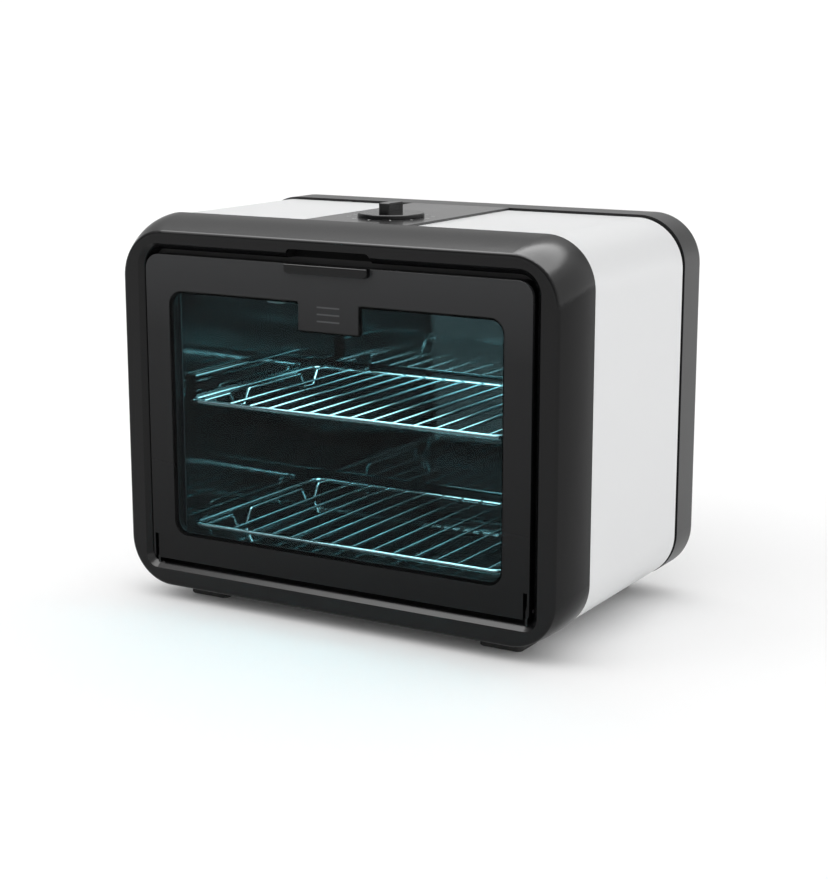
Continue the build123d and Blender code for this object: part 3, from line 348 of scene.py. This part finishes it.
def bezel_coat():
    """The bezel's glossy black moulding, dull inside the finger scoop."""
    finish = Finish("bezel_coat", specular_ior_level=DEEP_BLACK_SPECULAR)
    broad = finish.noise(BROAD_SCALE, 3.0)
    fine = finish.noise(FINE_SCALE, 1.0)
    finish.feed("Base Color", finish.mix(broad, *DEEP_BLACK))
    across = finish.node("ShaderNodeSeparateXYZ", {}, {0: finish.place}, 0)
    back = Term(finish, across.socket.node.outputs[1])
    up = Term(finish, across.socket.node.outputs[2])
    in_width = abs(across) < SCOOP_HALF_WIDTH
    in_depth = (back > SCOOP_FRONT) * (back < SCOOP_REAR)
    in_height = (up > SCOOP_LOW) * (up < SCOOP_HIGH)
    dullness = SCOOP_DULLNESS * (in_width * in_depth * in_height)
    finish.feed("Roughness", DEEP_BLACK_SHEEN + 0.05 * broad + 0.04 * fine + dullness)
    finish.bump(fine, MOULD_GRAIN)
    return finish.material


white = white_coat()
bezel_gloss = bezel_coat()
border_print = print_black()
pane = door_pane()
tube_glow = lit_tube()

finishes = {
    bezel_gloss: ("front_bezel",),
    bezel_plastic: ("door_handle", "timer_knob", "door_frame"),
    frame_plastic: ("rear_frame", "rear_cover", "base_plate", "cord_gland", "gland_nut"),
    strip_gloss: ("top_strip",),
    white: ("left_side_panel", "right_side_panel"),
    inner_plastic: ("reed_switch", "terminal_block", "ballast", "chamber_flange"),
    rubber: ("feet",),
    seal_rubber: ("door_seal",),
    ceramic: ("left_lamp_holder", "right_lamp_holder"),
    timer_resin: ("timer_body",),
    lead_sheath: ("wiring",),
    polished: (
        "chamber_floor",
        "chamber_ceiling",
        "chamber_left_wall",
        "chamber_right_wall",
        "chamber_back",
        "lamp_reflector",
        "left_rack_runner",
        "right_rack_runner",
    ),
    chrome_wire: ("lower_rack", "upper_rack"),
    zinc: ("chamber_supports", "timer_shaft", "hinge_pins", "runner_rivets"),
    screw_steel: (
        "rear_cover_screws",
        "base_screws",
        "foot_screws",
        "flange_screws",
        "ballast_screws",
        "timer_screws",
        "handle_screws",
    ),
    aluminium: ("lamp_caps",),
    magnet_steel: ("door_magnets",),
    border_print: ("door_border",),
    pane: ("door_glass",),
    tube_glow: ("lamp_tube",),
}
for material, names in finishes.items():
    for name in names:
        coat_node(name, material)

# ---- Added pieces ----


def mesh_piece(name, fill, material, body):
    """A new piece that rides a body; fill adds its faces to an empty bmesh."""
    shape = bmesh.new()
    fill(shape)
    bmesh.ops.recalc_face_normals(shape, faces=shape.faces)
    mesh = bpy.data.meshes.new(name)
    shape.to_mesh(mesh)
    shape.free()
    piece = bpy.data.objects.new(name, mesh)
    bpy.context.scene.collection.objects.link(piece)
    mesh.materials.append(material)
    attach(piece, body)


KNOB_Y = -0.02845
STRIP_TOP = 0.3094
DIAL_RADIUS = 0.0325
DIAL_MARK = (0.0032, 0.0011, 0.00008)
DIAL_ANGLES = (-150.0, -120.0, -90.0, -60.0, -30.0, 0.0, 30.0, 60.0, 90.0, 120.0, 150.0)


def dial_marks(shape):
    """Short pale marks printed on the strip around the knob."""
    for angle in DIAL_ANGLES:
        turn = Matrix.Rotation(math.radians(angle - 90.0), 4, "Z")
        size = Matrix.Diagonal((*DIAL_MARK, 1.0))
        centre = Matrix.Translation((0.0, KNOB_Y, STRIP_TOP + DIAL_MARK[2] / 2))
        out = Matrix.Translation((DIAL_RADIUS, 0.0, 0.0))
        bmesh.ops.create_cube(shape, size=1.0, matrix=centre @ turn @ out @ size)


pale_print = moulded("pale_print", (0.30, 0.30, 0.30), (0.36, 0.36, 0.36), 0.5)
mesh_piece("dial_marks", dial_marks, pale_print, "cabinet")

# ---- Stage: floor, surroundings and lamps ----
KEY_PLACE = (-1.3, -1.5, 1.9)
KEY_AIM = (0.0, 0.0, 0.15)
KEY_SIDE = 1.1
KEY_POWER = 7.0
GLOW_PLACE = (0.0, -0.022, 0.232)
GLOW_AIM = (0.0, -0.022, 0.0)
GLOW_WIDTH = 0.24
GLOW_DEPTH = 0.16
GLOW_POWER = 0.9
GLOW_COLOUR = (0.6, 0.96, 1.0)
FLOOR_REACH = 20.0
FLOOR_TONE = (0.93, 0.93, 0.93)
SKY_STRENGTH = 1.08
MIRROR_STRENGTH = 11.0
MIRROR_BY_HEIGHT = [
    (0.0, 0.08),
    (0.12, 0.045),
    (0.3, 0.05),
    (0.5, 0.065),
    (0.62, 0.1),
    (0.76, 0.2),
    (0.84, 1.0),
]
MIRROR_TO_RIGHT = [(0.0, 0.0), (0.3, 0.0), (0.6, 0.1), (1.0, 0.16)]
ground = bmesh.new()
bmesh.ops.create_grid(ground, x_segments=1, y_segments=1, size=FLOOR_REACH)
floor_mesh = bpy.data.meshes.new("floor")
ground.to_mesh(floor_mesh)
ground.free()
floor = bpy.data.objects.new("floor", floor_mesh)
bpy.context.scene.collection.objects.link(floor)
floor_finish = Finish("floor_paper", base_color=FLOOR_TONE, roughness=0.9, specular_ior_level=0.1)
floor.data.materials.append(floor_finish.material)

world = bpy.data.worlds.new("surroundings")
bpy.context.scene.world = world
world.use_nodes = True
sky = world.node_tree


def sky_ramp(socket, stops):
    """Strength of the light from a direction, by one of the direction's parts."""
    ramp = sky.nodes.new("ShaderNodeValToRGB")
    elements = ramp.color_ramp.elements
    while len(elements) < len(stops):
        elements.new(0.5)
    for element, (position, strength) in zip(elements, stops):
        element.position = position
        element.color = (strength, strength, strength, 1.0)
    sky.links.new(socket, ramp.inputs[0])
    return ramp.outputs[0]


def sky_maths(operation, first, second):
    """One sum between two sockets or numbers in the surroundings."""
    made = sky.nodes.new("ShaderNodeMath")
    made.operation = operation
    for index, value in enumerate((first, second)):
        if isinstance(value, float):
            made.inputs[index].default_value = value
        else:
            sky.links.new(value, made.inputs[index])
    return made.outputs[0]


bearing = sky.nodes.new("ShaderNodeSeparateXYZ")
sky.links.new(sky.nodes.new("ShaderNodeTexCoord").outputs["Generated"], bearing.inputs[0])
overhead = sky_ramp(bearing.outputs[2], MIRROR_BY_HEIGHT)
rightward = sky_ramp(bearing.outputs[0], MIRROR_TO_RIGHT)
mirrored = sky_maths("MULTIPLY", sky_maths("ADD", overhead, rightward), MIRROR_STRENGTH)
path = sky.nodes.new("ShaderNodeLightPath")
glossy = path.outputs["Is Glossy Ray"]
rest_of_light = sky_maths("SUBTRACT", 1.0, glossy)
strength = sky_maths(
    "ADD",
    sky_maths("MULTIPLY", mirrored, glossy),
    sky_maths("MULTIPLY", rest_of_light, SKY_STRENGTH),
)
background = sky.nodes["Background"]
background.inputs["Color"].default_value = (1.0, 1.0, 1.0, 1.0)
sky.links.new(strength, background.inputs["Strength"])


def soft_box(name, place, target, width, height, power, colour=(1.0, 1.0, 1.0)):
    """A rectangular studio lamp at place that faces target."""
    lamp = bpy.data.lights.new(name, "AREA")
    lamp.shape = "RECTANGLE"
    lamp.size = width
    lamp.size_y = height
    lamp.energy = power
    lamp.color = colour
    holder = bpy.data.objects.new(name, lamp)
    holder.location = place
    holder.rotation_mode = "QUATERNION"
    holder.rotation_quaternion = (Vector(target) - Vector(place)).to_track_quat("-Z", "Y")
    bpy.context.scene.collection.objects.link(holder)


soft_box("key", KEY_PLACE, KEY_AIM, KEY_SIDE, KEY_SIDE, KEY_POWER)
soft_box("chamber_glow", GLOW_PLACE, GLOW_AIM, GLOW_WIDTH, GLOW_DEPTH, GLOW_POWER, GLOW_COLOUR)

bpy.context.scene.view_settings.view_transform = "Standard"
